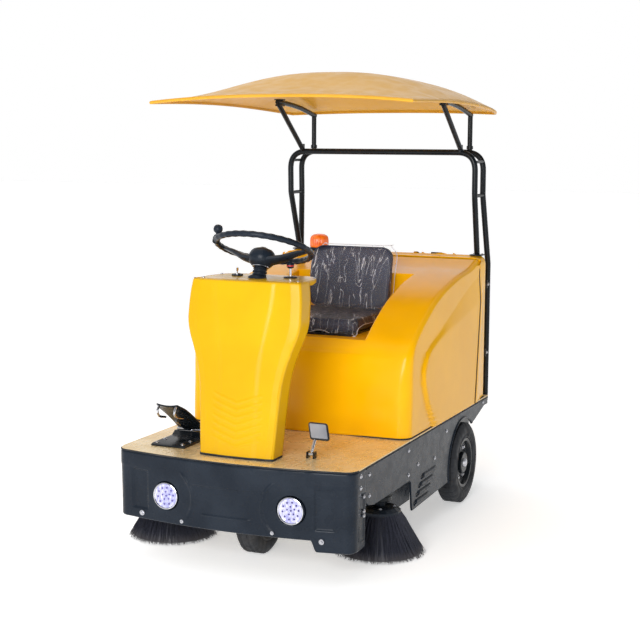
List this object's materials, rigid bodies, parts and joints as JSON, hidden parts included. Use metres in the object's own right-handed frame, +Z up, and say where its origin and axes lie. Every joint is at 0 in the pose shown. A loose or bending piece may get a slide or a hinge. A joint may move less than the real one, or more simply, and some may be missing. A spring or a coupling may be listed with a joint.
{
  "type": "ride-on sweeper",
  "caption": "Battery ride-on floor sweeper with tiller wheel, side brushes, main brush, rear hopper, seat and roof canopy on tube hoops.",
  "frame": {"origin": "centre of the whole machine's footprint, on the floor under the tyres", "axes": "+X driver's left, -Y front of the machine, +Z up"},
  "size_m": [1.296, 1.88, 2.0028],
  "materials": {
    "cowl_yellow": "glossy moulded panel",
    "body_yellow": "glossy moulded panel",
    "canopy_yellow": "satin moulded shell",
    "black_plastic": "satin moulded",
    "black_paint": "gloss powder coat",
    "tread_plate": "raised tread pattern",
    "grey_metal": "painted wheel centres and drive castings",
    "chrome": "polished",
    "tyre": "treaded rubber",
    "bristle": "stiff polypropylene bristle",
    "vinyl": "grained dark vinyl",
    "lamp_lens": "clear ribbed lens",
    "beacon_amber": "translucent amber",
    "red_plastic": "lever knob"
  },
  "bodies": {
    "chassis": {"chassis_frame": "black_paint", "deck_plate": "tread_plate", "front_bumper": "black_plastic", "headlight_housing_left": "chrome", "headlight_housing_right": "chrome", "headlight_lens_left": "lamp_lens", "headlight_lens_right": "lamp_lens", "side_skirt_left": "black_plastic", "side_skirt_right": "black_plastic", "rear_axle": "grey_metal", "drive_motor": "black_paint", "main_brush_housing": "black_plastic", "main_body": "body_yellow", "rear_cover": "body_yellow", "battery_pack": "black_plastic", "dust_filter": "grey_metal", "steering_cowl": "cowl_yellow", "dashboard": "cowl_yellow", "column_sleeve": "black_plastic", "accelerator_base": "black_plastic", "front_hoop": "black_paint", "rear_hoop": "black_paint", "canopy": "canopy_yellow", "canopy_rail_left": "black_paint", "canopy_rail_right": "black_paint", "canopy_post_left": "black_paint", "canopy_post_right": "black_paint", "canopy_strut_left": "black_paint", "canopy_strut_right": "black_paint", "beacon_base": "black_plastic", "beacon_lens": "beacon_amber"},
    "fork": {"steering_fork": "black_paint"},
    "front_wheel": {"front_rim": "grey_metal", "front_tyre": "tyre"},
    "rear_wheel_left": {"rear_rim_left": "grey_metal", "rear_tyre_left": "tyre"},
    "rear_wheel_right": {"rear_rim_right": "grey_metal", "rear_tyre_right": "tyre"},
    "side_arm_left": {"side_brush_arm_left": "black_paint", "side_brush_motor_left": "black_paint"},
    "side_arm_right": {"side_brush_arm_right": "black_paint", "side_brush_motor_right": "black_paint"},
    "side_brush_left": {"side_brush_disc_left": "black_plastic", "side_brush_bristles_left": "bristle"},
    "side_brush_right": {"side_brush_disc_right": "black_plastic", "side_brush_bristles_right": "bristle"},
    "main_brush": {"main_brush_core": "black_plastic", "main_brush_bristles": "bristle"},
    "steering_wheel": {"steering_wheel": "black_plastic"},
    "horn": {"horn_button": "black_plastic"},
    "spinner": {"spinner_knob": "black_plastic"},
    "accelerator": {"accelerator_pedal": "black_plastic"},
    "brake": {"brake_pedal": "chrome"},
    "lever": {"direction_lever": "red_plastic"},
    "key": {"ignition_key": "grey_metal"},
    "seat": {"seat_pan": "black_paint", "seat_cushion": "vinyl", "seat_back": "vinyl"},
    "tail_door": {"tail_door": "body_yellow"},
    "hopper": {"dust_hopper": "black_plastic"}
  },
  "joints": [
    {"name": "fork_steer", "type": "hinge", "parent": "chassis", "child": "fork", "pos_m": [0, -0.62, 0.4], "axis": [0, 0, 1], "range_deg": [-50, 50]},
    {"name": "steering_wheel_turn", "type": "hinge", "parent": "chassis", "child": "steering_wheel", "pos_m": [0, -0.59, 1.265], "axis": [0, 0.3584, 0.9336], "range_deg": [-250, 250]},
    {"name": "horn_press", "type": "slide", "parent": "steering_wheel", "child": "horn", "axis": [0, -0.3584, -0.9336], "range_m": [0, 0.003], "stiffness_N_per_m": 600, "springref_m": -0.002},
    {"name": "spinner_knob_spin", "type": "hinge", "parent": "steering_wheel", "child": "spinner", "pos_m": [-0.17055, -0.67826, 1.29888], "axis": [0, 0.3584, 0.9336], "continuous": true},
    {"name": "front_wheel_spin", "type": "hinge", "parent": "fork", "child": "front_wheel", "pos_m": [0, -0.62, 0.17], "axis": [1, 0, 0], "continuous": true},
    {"name": "rear_wheel_left_spin", "type": "hinge", "parent": "chassis", "child": "rear_wheel_left", "pos_m": [0.493, 0.49, 0.19], "axis": [1, 0, 0], "continuous": true},
    {"name": "side_brush_left_lift", "type": "hinge", "parent": "chassis", "child": "side_arm_left", "pos_m": [0.455, -0.24, 0.355], "axis": [-1, 0, 0], "range_deg": [0, 10]},
    {"name": "side_brush_left_spin", "type": "hinge", "parent": "side_arm_left", "child": "side_brush_left", "pos_m": [0.455, -0.425, 0.19], "axis": [0, 0, 1], "continuous": true},
    {"name": "rear_wheel_right_spin", "type": "hinge", "parent": "chassis", "child": "rear_wheel_right", "pos_m": [-0.493, 0.49, 0.19], "axis": [1, 0, 0], "continuous": true},
    {"name": "side_brush_right_lift", "type": "hinge", "parent": "chassis", "child": "side_arm_right", "pos_m": [-0.455, -0.24, 0.355], "axis": [-1, 0, 0], "range_deg": [0, 10]},
    {"name": "side_brush_right_spin", "type": "hinge", "parent": "side_arm_right", "child": "side_brush_right", "pos_m": [-0.455, -0.545, 0.19], "axis": [0, 0, 1], "continuous": true},
    {"name": "main_brush_spin", "type": "hinge", "parent": "chassis", "child": "main_brush", "pos_m": [0, 0.01, 0.142], "axis": [1, 0, 0], "continuous": true},
    {"name": "accelerator_press", "type": "hinge", "parent": "chassis", "child": "accelerator", "pos_m": [-0.34, -0.587, 0.482], "axis": [1, 0, 0], "range_deg": [0, 15], "stiffness_Nm_per_rad": 4, "springref_deg": -28.65},
    {"name": "brake_press", "type": "hinge", "parent": "chassis", "child": "brake", "pos_m": [0.275, -0.725, 0.462], "axis": [1, 0, 0], "range_deg": [0, 20], "stiffness_Nm_per_rad": 2, "springref_deg": -17.19},
    {"name": "direction_lever_tilt", "type": "hinge", "parent": "chassis", "child": "lever", "pos_m": [0.12, -0.59, 1.158], "axis": [1, 0, 0], "range_deg": [-15, 15]},
    {"name": "key_turn", "type": "hinge", "parent": "chassis", "child": "key", "pos_m": [-0.12, -0.59, 1.155], "axis": [0, 0, 1], "range_deg": [0, 90]},
    {"name": "seat_tilt", "type": "hinge", "parent": "chassis", "child": "seat", "pos_m": [0, -0.13, 0.8523], "axis": [1, 0, 0], "range_deg": [0, 45]},
    {"name": "tail_door_swing", "type": "hinge", "parent": "chassis", "child": "tail_door", "pos_m": [-0.379, 0.886, 0.79], "axis": [0, 0, 1], "range_deg": [0, 100]},
    {"name": "hopper_slide", "type": "slide", "parent": "chassis", "child": "hopper", "axis": [0, 1, 0], "range_m": [0, 0.45]}
  ],
  "couplings": [
    {"joint": "steering_wheel_turn", "follows": "fork_steer", "ratio": 5}
  ]
}
